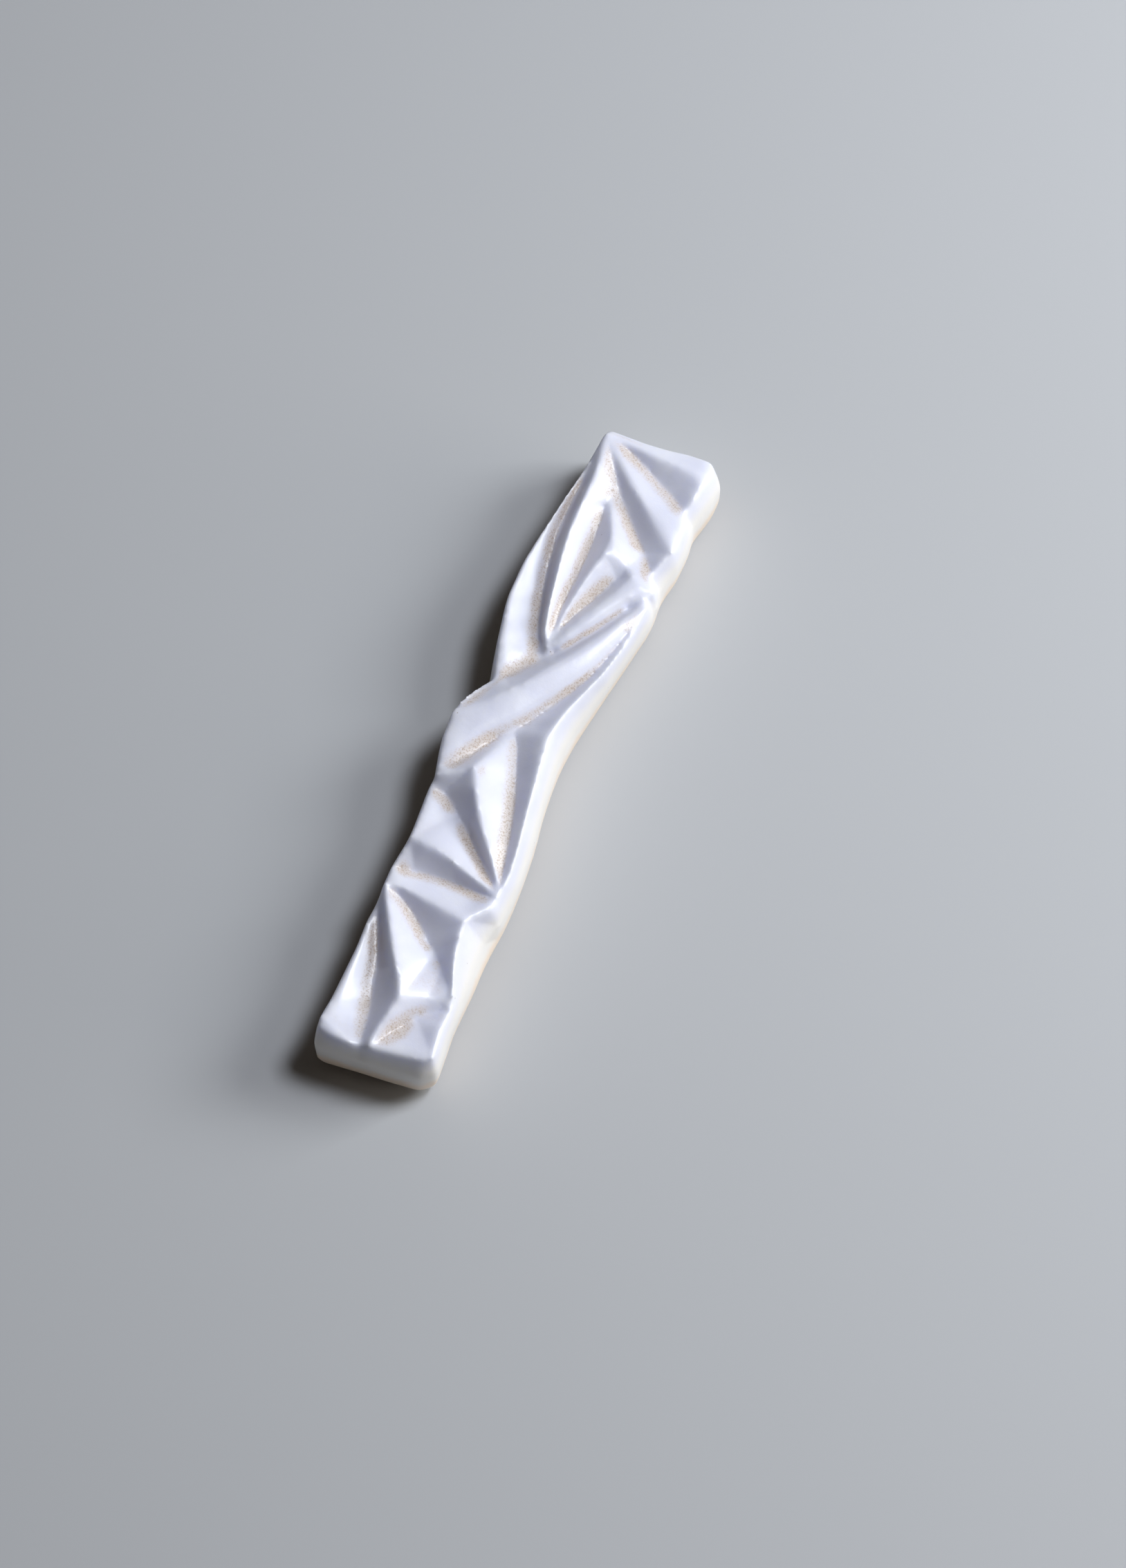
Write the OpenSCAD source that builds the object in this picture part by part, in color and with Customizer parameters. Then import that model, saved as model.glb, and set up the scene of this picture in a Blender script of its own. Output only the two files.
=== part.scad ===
// Mezuzah case: a hand-modelled glazed ceramic case with a relief of crossing
// ridges, lying on its back. A round chamber opens in its far end and holds a
// rolled parchment in a clear sleeve behind a soft stopper. Two foam tape pads
// with peel-off liners are on the back.
// X is across the case, Y along it to the chamber's mouth, Z up through the relief.

/* [Case] */
// Height of the relief, as a share of the modelled one
relief_scale = 1; // [0.95:0.01:1.1]
// Radius taken off the case's lower edges, seen from the end
foot_round = 2.2; // [1.2:0.1:3]
// Outward swell of the side walls at half height
wall_swell = 0.5; // [0:0.1:0.8]

/* [Chamber] */
// Diameter of the chamber that holds the parchment
chamber_d = 10; // [9.6:0.1:10.3]
// Depth of the chamber behind the far end's face
chamber_depth = 116; // [112:1:120]
// Diameter of the seat that the stopper's head lies in
seat_d = 11.6; // [11.2:0.1:12]
// Depth of that seat
seat_depth = 2.4; // [2:0.1:3]

/* [Stopper] */
// Length of the stopper behind its head
plug_length = 5; // [4:0.5:6]
// Thickness of the stopper's head
head_thickness = 2; // [1.6:0.1:2.2]
// Number of sealing ribs round the stopper
rib_count = 2; // [1:1:3]

/* [Parchment] */
// Length of the rolled parchment
parchment_length = 98; // [90:1:99]
// Thickness of one layer of parchment
parchment_thickness = 0.35; // [0.25:0.05:0.4]
// Turns in the roll
roll_turns = 3.5; // [2.5:0.5:3.5]
// Distance from one turn of the roll to the next
roll_pitch = 0.75; // [0.6:0.05:0.8]
// Length of the clear sleeve
sleeve_length = 101; // [100:1:102]
// Wall thickness of the sleeve
sleeve_wall = 0.2; // [0.15:0.05:0.25]

/* [Mounting pads] */
// Length of one foam tape pad
tape_length = 40; // [30:1:42]
// Width of one foam tape pad
tape_width = 14; // [10:1:15]
// Thickness of the foam tape
tape_thickness = 1; // [0.8:0.05:1.2]
// Thickness of the peel-off liner
liner_thickness = 0.2; // [0.15:0.05:0.25]
// Length of the liner's free pull tab
liner_tab = 6; // [4:1:8]

/* [Hidden] */
$fn = 64;
eps = 0.01;

// ---- derived places ----
back_z = tape_thickness + liner_thickness;
far_face_y = 75;
chamber_x = 1.3;
chamber_z = back_z + 6.6;
chamber_floor_y = far_face_y - chamber_depth;
pad_x = 1.5;
pad_y = 42;
pad_corner = 2;

// Wall rings, from the back up: height above the ground and inset from the outline
low_z = back_z + 4;
mid_z = back_z + 9.5;
foot_rings = [
    [back_z, foot_round],
    [back_z + 0.3 * foot_round, 0.3 * foot_round],
    [low_z, 0]
];

// ---- corners where several lines of the relief meet ----
near_left = [-10.7, -71.8, 16.2];
near_cleft = [-1.6, -72, 15.2];
near_crest = [0, -72.2, 16.6];
near_gully = [2.6, -71.8, 16.1];
near_bevel = [10.9, -70.7, 16.4];
near_right = [12.9, -69.7, 16.4];
near_flank = [-11.2, -69.7, 16.2];
left_dip = [-10.6, -42.2, 15.2];
left_peak = [-10.6, -39.9, 17.8];
knuckle = [1.8, -61, 18.3];
knee_edge = [12.1, -63.5, 16.6];
gully_end = [12.1, -58.6, 15.7];
right_knee = [11.4, -56.4, 16.7];
right_shelf = [7.5, -41.5, 18.6];
shelf_corner = [11.3, -36.8, 17.6];
right_hub = [11.3, -34.3, 17];
left_hollow = [-11.2, -35.3, 15.6];
left_rise = [-10, -28.4, 17.4];
left_gully = [-11.2, -15.8, 15.2];
left_edge = [-10.7, -13.9, 17];
left_bay = [-11.3, -12, 16.4];
crest_peak = [-3.9, -10.2, 18.8];
fork = [0, 1.5, 15.3];
band_low = [-12.8, -6.2, 17.1];
band_high = [-13.2, -0.4, 17.2];
band_end = [14.8, 36.8, 17.6];
right_notch = [13.5, 38.9, 17.2];
notch_crest = [14.8, 40.3, 17.6];
left_notch = [-8.7, 10.9, 14.6];
notch_floor = [-2.3, 20.2, 14.3];
tip_floor = [-0.9, 19.4, 14.3];
rib_tip = [-1.4, 21, 16];
fold_top = [-2.5, 57.8, 16.2];
fold_elbow = [2.1, 47.7, 19];
fold_bend = [5.1, 45.7, 18.3];
fold_mid = [7.4, 43.7, 17.5];
fold_step = [9.2, 41.9, 18.2];
fold_end = [12.2, 40.3, 18];
trough_start = [-1.4, 61.3, 15.8];
trough_end = [12.5, 44, 16.6];
shoulder = [14.9, 50.1, 18.2];
waist = [14.7, 56.3, 17.6];
far_gully = [13.5, 60.4, 16.6];
far_shoulder = [14.8, 67.4, 18.4];
far_turn = [15.5, 71.8, 17];
far_peak = [-8.8, 71.4, 18];
far_left = [-8.8, 73.1, 16.6];
far_right = [14, 74.2, 16.4];

// ---- ridge and valley lines of the near half ----
near_valley = [near_cleft, [-2.3, -67.2, 14.4], [-3, -64.1, 13.8], [-3.8, -61.1, 13.4],
               [-4.7, -58.3, 13.3], [-5.3, -55.4, 13.3], [-6.8, -51.4, 13.5],
               [-8.8, -46.9, 14.1], left_dip];
near_ridge = [near_crest, [0.4, -67.3, 17.2], [1.3, -64, 17.9], knuckle, [0.9, -58.3, 18.7],
              [-1, -55.7, 18.8], [-3.2, -52.5, 18.8], [-6.1, -47.7, 18.5], [-8.6, -43.4, 18.2],
              left_peak];
gully = [near_gully, [1.6, -69.4, 15.8], [2.7, -67.2, 15.3], [4.3, -65, 14.9], [6.2, -62.6, 14.7],
         [8.1, -60.6, 14.6], [10.2, -59.2, 14.8], gully_end];
knee_crest = [knuckle, [4.2, -59.4, 17.2], [7.2, -58.4, 16.1], [10, -57.7, 15.9], right_knee];
slant_valley = [right_knee, [9.5, -54.1, 15.8], [6.7, -51, 15], [4.1, -48.7, 14.6],
                [1.5, -46.6, 14.5], [-0.9, -44.5, 14.7], [-3.6, -42.3, 15.1],
                [-6.7, -40.6, 15.8], left_peak];
shelf_rim = [right_knee, [10, -53.3, 17.6], [8.7, -49.3, 18.1], [7.9, -45, 18.4], right_shelf];
shelf_crest = [right_shelf, [2.3, -40.5, 18.2], [-0.8, -40.1, 18], [-4, -39.6, 17.8],
               [-8, -39.1, 17.7], left_peak];
cross_valley = [right_hub, [8.2, -33.8, 15.6], [5.1, -33.5, 14.8], [2, -33.3, 14.4],
                [-0.9, -33.3, 14.3], [-3.8, -33.6, 14.3], [-6.6, -34, 14.4],
                [-9.3, -34.8, 14.8], left_hollow];
cross_ridge = [right_hub, [8.6, -32.9, 17.5], [5.7, -32.2, 17.8], [2.9, -31.5, 18],
               [0.2, -30.4, 18.1], [-2.7, -29.6, 18.1], [-5.9, -29.1, 18], left_rise];
long_valley = [right_hub, [9.1, -31.2, 15.8], [6.9, -29.1, 14.9], [4.3, -26.4, 14.4],
               [1.8, -24.1, 14.2], [-0.6, -21.8, 14.2], [-3.2, -19.6, 14.2],
               [-5.7, -17.4, 14.3], [-8, -15.9, 14.6], left_gully];
long_ridge = [right_hub, [9.7, -30.8, 17.5], [7.6, -28.2, 17.9], [5.7, -25.8, 18.2],
              [3.8, -23.6, 18.4], [1.8, -21, 18.6], [0, -18.1, 18.8], [-1.7, -14.7, 18.9],
              crest_peak];
side_valley = [right_hub, [10.5, -30.4, 16.3], [9.8, -28.1, 15.9], [9.2, -24.8, 15.7],
               [8.5, -21.3, 15.6], [7.5, -17.3, 15.4], [6.3, -13.3, 15.3], [5, -9.7, 15.2],
               [3.7, -6.1, 15.2], [2.1, -1.9, 15.2], fork];
right_crest = [right_hub, [11.9, -29.5, 17.7], [11.2, -23.3, 18.1], [10.1, -16.7, 18.5],
               [9.2, -10.1, 18.7], [8.3, -4.3, 18.8], [7.6, 1.4, 18.7], [8.4, 7.3, 18.5],
               [10, 12.7, 18.2], [12.1, 18.9, 17.9], [13.7, 25.9, 17.8], [14.3, 31.3, 17.7],
               band_end];

// ---- the band that crosses the middle ----
band_valley = [fork, [2.3, 5.2, 15.2], [4.1, 8, 15.2], [5.8, 11.2, 15.3], [7.6, 14.3, 15.4],
               [9.3, 17.6, 15.7], [10.7, 21.4, 16], [11.7, 24.9, 16.3], [12.7, 28.5, 16.7],
               [13.7, 32.6, 17.1], band_end];
fork_valley = [fork, [-2.7, -1.1, 15.2], [-4.3, -4.2, 15.3], [-6.1, -7.3, 15.6],
               [-8.2, -10.1, 16], left_bay];
fork_crest = [fork, [-1.8, -4.3, 16.8], [-2.9, -7.2, 17.9], crest_peak];
edge_crest = [crest_peak, [-5.9, -11.7, 18.3], [-8.1, -13, 17.7], left_edge];
band_front = [band_end, [13.1, 33.5, 17.6], [12, 29.3, 17.5], [10.7, 25.1, 17.4],
              [9.1, 20.9, 17.3], [7.2, 17.1, 17.2], [4.7, 13.2, 17.1], [2.1, 9.2, 17],
              [-0.7, 5.2, 17], [-4, 1.3, 17], [-7, -2.1, 17], [-10, -4.4, 17.1], band_low];
band_back = [right_notch, [12.8, 35.6, 17.9], [11, 32, 18.1], [9.3, 28.6, 18.2],
             [7.5, 25.5, 18.3], [5.8, 22.4, 18.3], [3.9, 19.5, 18.3], [2, 16.9, 18.3],
             [0.1, 14.1, 18.2], [-1.8, 11.4, 18.1], [-3.7, 8.8, 18], [-5.8, 6.4, 17.8],
             [-7.8, 4.1, 17.6], [-10.4, 1.6, 17.4], band_high];
notch_gully = [right_notch, [11.9, 37, 16.2], [10.5, 35.2, 15.4], [9, 33.2, 15],
               [7.1, 30.4, 14.7], [5.2, 27.6, 14.6], [3.3, 24.8, 14.5], [1.1, 21.9, 14.4],
               tip_floor];
notch_run = [tip_floor, [-2.7, 17.1, 14.3], [-4.7, 14.6, 14.3], [-6.7, 12.2, 14.4], left_notch];
left_shore = [left_notch, [-9.7, 9.3, 15.4], [-10.5, 7.6, 16.2], [-11.4, 5.6, 16.8],
              [-12.5, 3, 17.1], band_high];

// ---- ridge and valley lines of the far half ----
left_channel = [notch_floor, [-4, 23.8, 14], [-5.4, 28.2, 13.6], [-6.9, 33.3, 13.4],
                [-8.3, 39.7, 13.3], [-9.5, 46.2, 13.3], [-9.8, 52.6, 13.6],
                [-9.5, 58.8, 14.5], [-9.2, 65.2, 16], far_peak];
left_rim = [left_notch, [-9.5, 13.5, 15.4], [-10.6, 17.3, 16], [-11.7, 21.8, 16.3],
            [-13.2, 29.2, 16.5], [-13.4, 37.3, 16.6], [-12.6, 45, 16.6], [-11.3, 54.3, 16.7],
            [-10, 62.2, 17], far_peak];
rib_crest = [rib_tip, [-2.9, 23.7, 17.4], [-3.9, 28.1, 18.5], [-4.9, 33.5, 19],
             [-6, 40.2, 19.2], [-6.8, 46.9, 19.2], [-7, 53.7, 19], [-7.1, 60.7, 18.6],
             [-7.8, 65.9, 18.3], far_peak];
inner_valley = [rib_tip, [-1.5, 24.4, 15.4], [-1.6, 28.3, 15.1], [-1.8, 32.8, 14.8],
                [-1.7, 38.3, 14.5], [-1.8, 43.9, 14.3], [-2, 49.1, 14.3], [-2.2, 53.1, 14.6],
                [-2.5, 56.3, 15.2], fold_top];
fold_side = [rib_tip, [-1.1, 24.1, 16.3], [-1, 28.9, 17], [-0.6, 33, 17.6], [0, 37.1, 18.2],
             [0.8, 41.2, 18.6], [1.7, 44.6, 18.9], fold_elbow];
groove = [rib_tip, [-0.8, 23.6, 15.5], [0.2, 27.7, 15.1], [1.7, 31.5, 15], [3.4, 35.1, 15.1],
          [5, 38.5, 15.6], [6.3, 41, 16.2], [7.1, 42.6, 16.9], fold_mid];
groove_edge = [rib_tip, [-0.2, 22.7, 16.5], [1.1, 26.4, 17.1], [2.9, 29.4, 17.5], [4.7, 32.4, 17.8],
               [6.4, 35.7, 18], [7.9, 38.7, 18.1], fold_step];
spur_ridge = [rib_tip, [0.3, 22, 16.5], [2.1, 24, 17], [4.5, 27.4, 17.3], [6.8, 30.9, 17.5],
              [8.9, 34.4, 17.6], [10.6, 37.4, 17.7], fold_end];
fold_crest = [notch_crest, fold_end, fold_step, fold_mid, fold_bend, fold_elbow,
              [0.9, 50.7, 18.4], [-0.8, 54, 17.4], fold_top];
trough = [trough_end, [11.2, 46.3, 16.1], [9, 49, 15.6], [6.5, 51.7, 15.4], [4.1, 54.4, 15.3],
          [1.9, 57, 15.4], [0.1, 59.3, 15.5], trough_start];
trough_rise = [trough_start, [-3.5, 64.2, 16.4], [-5.8, 67.4, 17.3], far_peak];
saddle_rim = [trough_end, [13.6, 47.4, 17.7], shoulder];
saddle_ridge = [shoulder, [12.4, 52.3, 18.3], [9.7, 54.4, 18.3], [7, 56.9, 18.2],
                [3.9, 59.5, 18.1], [1, 61.9, 18], [-1.7, 64.4, 17.9], [-4.7, 67.5, 17.9],
                far_peak];
saddle_valley = [far_gully, [9.7, 63.4, 15.8], [5.8, 65.5, 15.7], [2.4, 67.5, 16],
                 [-1.3, 69.3, 16.4], [-4.6, 70.4, 17.2], far_peak];
far_rim = [far_gully, [14.3, 62.9, 17.7], far_shoulder];
far_ridge = [far_shoulder, [11.7, 69.1, 18.2], [8.1, 69.6, 18.1], [4, 70.1, 18], [0, 70.5, 17.9],
             [-4.4, 71, 17.9], far_peak];
far_edge = [far_right, [9.4, 74.3, 16], [4.3, 73.5, 16], [-1, 73.1, 16.2], [-5.8, 73.1, 16.4],
            far_left];
near_edge = [near_left, [-7.8, -72.6, 16.2], [-5.2, -72.7, 16.2], [-2.9, -72.6, 16], near_cleft];
left_flank = [near_flank, [-10.7, -65.1, 16], [-10.5, -58.7, 16], [-10.5, -52.7, 15.9],
              [-10.9, -46.9, 15.6], left_dip];

// ---- functions ----
function rev(a) = [for (i = [len(a) - 1:-1:0]) a[i]];
function inner(a) = [for (i = [1:len(a) - 2]) a[i]];
function swapped(t) = [t[0], t[2], t[1]];
function real_triangle(t) = t[0] != t[1] && t[1] != t[2] && t[0] != t[2];
// Triangles between two lines that run side by side
function stitch(a, b, i = 0, j = 0) =
    i == len(a) - 1 && j == len(b) - 1 ? [] :
    j == len(b) - 1 || (i < len(a) - 1 && norm(a[i + 1] - b[j]) <= norm(a[i] - b[j + 1]))
        ? [[a[i], a[i + 1], b[j]], each stitch(a, b, i + 1, j)]
        : [[a[i], b[j + 1], b[j]], each stitch(a, b, i, j + 1)];
// Turns a triangle of the relief so that it faces up
function face_up(t) = cross(t[1] - t[0], t[2] - t[0])[2] < 0 ? t : swapped(t);
function relief_facets(pairs) =
    [for (p = pairs) for (t = stitch(p[0], p[1])) if (real_triangle(t)) face_up(t)];
// Walls between two closed rings with the same number of points
function wall_facets(upper, lower) =
    [for (i = [0:len(upper) - 1])
        let (k = (i + 1) % len(upper))
        each [[upper[i], upper[k], lower[k]], [upper[i], lower[k], lower[i]]]];
function lifted(p) = [p[0], p[1], back_z + (p[2] - back_z) * relief_scale];
function square_to(d) = [-d[1], d[0]] / norm(d);
// Step that moves both sides of a closed ring's corner inwards by one
function inward(ring, i) =
    let (n = len(ring))
    let (before = square_to(ring[i] - ring[(i + n - 1) % n]))
    let (after = square_to(ring[(i + 1) % n] - ring[i]))
    (before + after) / (1 + before * after);
function inset_ring(ring, distance, z) =
    [for (i = [0:len(ring) - 1])
        let (p = ring[i] + inward(ring, i) * distance)
        [p[0], p[1], z]];

// ---- the relief: each pair of lines bounds one band of facets ----
relief_pairs = [
    [[near_left, each left_flank], [each near_edge, each near_valley]],
    [[each near_valley, left_peak], near_ridge],
    [[near_crest, each gully], [for (i = [0:2]) near_ridge[i], each knee_crest]],
    [gully, [near_gully, near_bevel, near_right, knee_edge, gully_end]],
    [[each rev(knee_crest), for (i = [4:len(near_ridge) - 1]) near_ridge[i]], slant_valley],
    [slant_valley, [each shelf_rim, each shelf_crest]],
    [[shelf_corner, each cross_valley], shelf_crest],
    [[each cross_valley], [each cross_ridge]],
    [cross_ridge, long_valley],
    [long_valley, [each long_ridge, each edge_crest]],
    [fork_valley, [each fork_crest, each edge_crest]],
    [[each long_ridge, each rev(fork_crest)], side_valley],
    [[each side_valley, each band_valley], right_crest],
    [[each rev(band_valley), each fork_valley], band_front],
    [band_front, band_back],
    [[each notch_gully, each notch_run], [each band_back, each rev(left_shore)]],
    [[tip_floor, each left_channel], [each notch_run, each left_rim]],
    [[tip_floor, each rib_crest], [tip_floor, each left_channel]],
    [[each inner_valley, each trough_rise], rib_crest],
    [[each fold_side, for (i = [6:8]) fold_crest[i]], inner_valley],
    [[each groove, fold_bend, fold_elbow], fold_side],
    [[each groove_edge, fold_mid], groove],
    [[each spur_ridge, fold_step], groove_edge],
    [[each notch_gully, rib_tip], rev(spur_ridge)],
    [[right_notch, notch_crest], [fold_end]],
    [fold_crest, trough],
    [[each saddle_rim, each saddle_ridge], [each trough, each trough_rise]],
    [[waist, each saddle_valley], saddle_ridge],
    [saddle_valley, [each far_rim, each far_ridge]],
    [[each far_ridge], [far_turn, each far_edge]]
];

// ---- the rim of the relief and the outline of the walls below it ----
right_rim = [near_right, knee_edge, gully_end, each shelf_rim, shelf_corner, each right_crest,
             right_notch, notch_crest, each saddle_rim, waist, each far_rim, far_turn];
left_side = [far_peak, each rev(inner(left_rim)), left_notch, each inner(left_shore), band_high,
             band_low, left_bay, left_edge, left_gully, left_rise, left_hollow, left_peak,
             left_dip, each rev(inner(left_flank)), near_flank];
near_side = [each near_edge, near_crest, near_gully, near_bevel];
// The right wall's foot: X at each Y
right_foot = [
    [-72, 13.9], [-59, 12.7], [-50, 12.9], [-44, 12.7], [-33, 13.4], [-27, 13.2], [-19, 12.6],
    [-9, 11], [0, 10.2], [7, 10.6], [14, 11.5], [23, 13], [32, 14.4], [38, 15.3], [45, 14.7],
    [53, 16.5], [60.5, 15.5], [69.5, 17.6], [73, 17]
];
near_foot_y = -73.8;
near_skew = 0.085;
left_line = -12;
left_share = 0.3;
rim = [for (p = [each right_rim, each far_edge, each left_side, each near_side]) lifted(p)];
outline = [
    for (p = right_rim) [lookup(p[1], right_foot), p[1] * 1.01],
    for (p = far_edge) [p[0] * 1.08, far_face_y],
    for (p = left_side) [p[0] + (left_line - p[0]) * left_share, p[1]],
    for (p = near_side) [p[0], near_foot_y + near_skew * p[0]]
];
mid_ring = [
    for (i = [0:len(rim) - 1])
        let (reach = outline[i] + ([rim[i][0], rim[i][1]] - outline[i]) * 0.35)
        let (p = reach - inward(outline, i) * wall_swell)
        [p[0], min(p[1], far_face_y), mid_z]
];
wall_rings = [
    rim,
    mid_ring,
    for (k = [2:-1:0]) inset_ring(outline, foot_rings[k][1], foot_rings[k][0])
];
back_ring = wall_rings[len(wall_rings) - 1];
far_middle = len(right_rim) + len(far_edge) - 1;
back_right = [for (i = [0:far_middle]) back_ring[i]];
back_left = [for (i = [len(back_ring) - 1:-1:far_middle]) back_ring[i]];
function lifted_line(a) = [for (p = a) lifted(p)];
facets = [
    each relief_facets([for (p = relief_pairs) [lifted_line(p[0]), lifted_line(p[1])]]),
    for (k = [0:len(wall_rings) - 2]) each wall_facets(wall_rings[k], wall_rings[k + 1]),
    for (t = stitch(back_right, back_left)) if (real_triangle(t)) swapped(face_up(t))
];

// The origin is under the middle of the case's box
shell_points = [for (t = facets) each t];
function middle(k) = (min([for (p = shell_points) p[k]]) + max([for (p = shell_points) p[k]])) / 2;
centre_x = middle(0);
centre_y = middle(1);

// ---- modules ----
module centred() {
    translate([-centre_x, -centre_y, 0]) children();
}

module along_y(x, y, z) {
    translate([x, y, z]) rotate([-90, 0, 0]) children();
}

module case_shell() {
    polyhedron(
        points = shell_points,
        faces = [for (i = [0:len(facets) - 1]) [3 * i, 3 * i + 1, 3 * i + 2]]
    );
}

module case_body() {
    color("whitesmoke")
    centred()
    difference() {
        case_shell();
        along_y(chamber_x, chamber_floor_y, chamber_z) cylinder(d = chamber_d, h = chamber_depth + 5);
        along_y(chamber_x, far_face_y - seat_depth, chamber_z) cylinder(d = seat_d, h = seat_depth + 5);
    }
}

// Outline of the stopper in section: head, shank and rounded sealing ribs
head_r = seat_d / 2 - 0.25;
shank_r = chamber_d / 2 - 0.5;
rib_r = 0.45;
module stopper() {
    color("silver")
    centred()
    along_y(chamber_x, far_face_y - seat_depth - plug_length, chamber_z)
    difference() {
        union() {
            cylinder(r = shank_r, h = plug_length + eps);
            translate([0, 0, plug_length]) cylinder(r = head_r, h = head_thickness);
            for (i = [1:rib_count])
                translate([0, 0, i * plug_length / (rib_count + 1)])
                rotate_extrude() translate([shank_r, 0]) circle(r = rib_r);
        }
        // finger slot across the head
        translate([0, 0, plug_length + head_thickness])
        cube([8, 2, 2], center = true);
    }
}

roll_r = 4.05;
roll_steps = 28;
function spiral(a, offset) =
    let (r = roll_r - roll_pitch * a / 360 + offset)
    [r * cos(a), r * sin(a)];
parchment_y = far_face_y - seat_depth - plug_length - 2.5 - sleeve_length;
module parchment_scroll() {
    step = 360 / roll_steps;
    last = roll_turns * roll_steps;
    color("wheat")
    centred()
    along_y(chamber_x, parchment_y + (sleeve_length - parchment_length) / 2, chamber_z)
    linear_extrude(parchment_length)
    polygon([
        for (i = [0:last]) spiral(i * step, 0),
        for (i = [last:-1:0]) spiral(i * step, -parchment_thickness)
    ]);
}

sleeve_r = chamber_d / 2 - 0.45;
module scroll_sleeve() {
    color("lightcyan")
    centred()
    along_y(chamber_x, parchment_y, chamber_z)
    difference() {
        cylinder(r = sleeve_r, h = sleeve_length);
        translate([0, 0, -eps]) cylinder(r = sleeve_r - sleeve_wall, h = sleeve_length + 2 * eps);
    }
}

// A flat pad with rounded corners, centred on its place
module pad(length, width, thickness) {
    linear_extrude(thickness)
    hull()
    for (x = [-1, 1], y = [-1, 1])
        translate([x * (width / 2 - pad_corner), y * (length / 2 - pad_corner)])
        circle(r = pad_corner, $fn = 32);
}

module tape(side) {
    color("gainsboro")
    centred()
    translate([pad_x, side * pad_y, liner_thickness]) pad(tape_length, tape_width, tape_thickness);
}

module liner(side) {
    color("lightyellow")
    centred()
    translate([pad_x, side * (pad_y + liner_tab / 2), 0])
    pad(tape_length + liner_tab, tape_width, liner_thickness);
}

module tape_upper() { tape(1); }
module tape_lower() { tape(-1); }
module liner_upper() { liner(1); }
module liner_lower() { liner(-1); }

case_body();
stopper();
parchment_scroll();
scroll_sleeve();
tape_upper();
tape_lower();
liner_upper();
liner_lower();
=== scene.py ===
"""Looks of the mezuzah case: glazed body, stopper, parchment in its sleeve, tape pads, liners."""

import math

import bmesh
import bpy
import numpy as np
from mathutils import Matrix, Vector, kdtree, noise


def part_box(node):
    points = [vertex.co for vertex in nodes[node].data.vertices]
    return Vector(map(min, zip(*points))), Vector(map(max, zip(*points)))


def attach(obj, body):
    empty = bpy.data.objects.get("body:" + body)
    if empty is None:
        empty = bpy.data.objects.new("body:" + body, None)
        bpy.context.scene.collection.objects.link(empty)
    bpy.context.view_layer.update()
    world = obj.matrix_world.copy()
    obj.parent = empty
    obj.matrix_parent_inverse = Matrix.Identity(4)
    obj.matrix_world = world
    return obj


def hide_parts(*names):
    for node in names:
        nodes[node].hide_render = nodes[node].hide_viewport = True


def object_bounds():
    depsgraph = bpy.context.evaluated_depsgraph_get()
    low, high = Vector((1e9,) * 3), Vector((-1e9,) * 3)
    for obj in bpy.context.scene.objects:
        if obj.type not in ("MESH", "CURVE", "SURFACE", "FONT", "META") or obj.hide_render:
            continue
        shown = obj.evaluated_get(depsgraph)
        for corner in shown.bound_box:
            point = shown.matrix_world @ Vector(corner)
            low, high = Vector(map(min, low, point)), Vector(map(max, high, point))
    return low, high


MM = 0.001

# ---- sizes that the CAD boxes don't give ----
SLEEVE_GAP = 0.45 * MM
HEAD_GAP = 0.25 * MM
SEAT_DEPTH = 2.4 * MM
HEAD_THICKNESS = 2.0 * MM
CHAMBER_TAIL = 8 * MM  # reaches past the chamber's inner end, beyond the sleeve

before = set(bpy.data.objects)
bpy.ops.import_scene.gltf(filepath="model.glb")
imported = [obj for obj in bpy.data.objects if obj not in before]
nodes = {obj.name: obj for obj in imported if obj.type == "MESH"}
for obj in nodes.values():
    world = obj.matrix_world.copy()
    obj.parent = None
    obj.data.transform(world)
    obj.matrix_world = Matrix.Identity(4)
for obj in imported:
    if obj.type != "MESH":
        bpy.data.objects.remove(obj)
cad_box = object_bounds()

# ---- places read from the CAD model ----
sleeve_low, sleeve_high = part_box("scroll_sleeve")
plug_low, plug_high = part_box("stopper")
scroll_low, scroll_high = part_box("parchment_scroll")
back_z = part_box("tape_upper")[1][2]
chamber_x = (sleeve_low[0] + sleeve_high[0]) / 2
chamber_z = (sleeve_low[2] + sleeve_high[2]) / 2
sleeve_r = (sleeve_high[0] - sleeve_low[0]) / 2
head_r = (plug_high[0] - plug_low[0]) / 2
mouth_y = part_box("case_body")[1][1]
chamber_r = sleeve_r + SLEEVE_GAP
seat_r = head_r + HEAD_GAP

# ---- how the case is modelled ----
VOXEL = 0.34 * MM
CREASE_ANGLE = math.radians(18)
LINE_STEP = 0.3 * MM
VALLEY_HOLD = 0.6 * MM
CREST_HOLD = 0.65 * MM
CREST_SHARE = 0.62  # how firmly crests are held in the first rounds
VALLEY_SHARE = 0.8  # and valleys in the last ones
FACET_ROUNDS = 55
CREST_ROUNDS = 12
HAND_WAVE = 0.08 * MM
STAIN_SOLID = 0.7 * MM
STAIN_REACH = 3.9 * MM
LIGHT_XY = (0.73, 0.68)  # x and y of the light's direction; the stain is painted only on slopes facing it
FOOT_LOW, FOOT_HIGH = 2 * MM, 18 * MM  # where the walls' painted warm light and the foot's clay tint start and stop fading


# ---------- mesh helpers ----------
def new_object(name, mesh):
    obj = bpy.data.objects.new(name, mesh)
    bpy.context.scene.collection.objects.link(obj)
    return obj


def object_from_bmesh(name, bm, smooth=True):
    mesh = bpy.data.meshes.new(name)
    bm.normal_update()
    bm.to_mesh(mesh)
    bm.free()
    mesh.shade_smooth() if smooth else mesh.shade_flat()
    return new_object(name, mesh)


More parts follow.
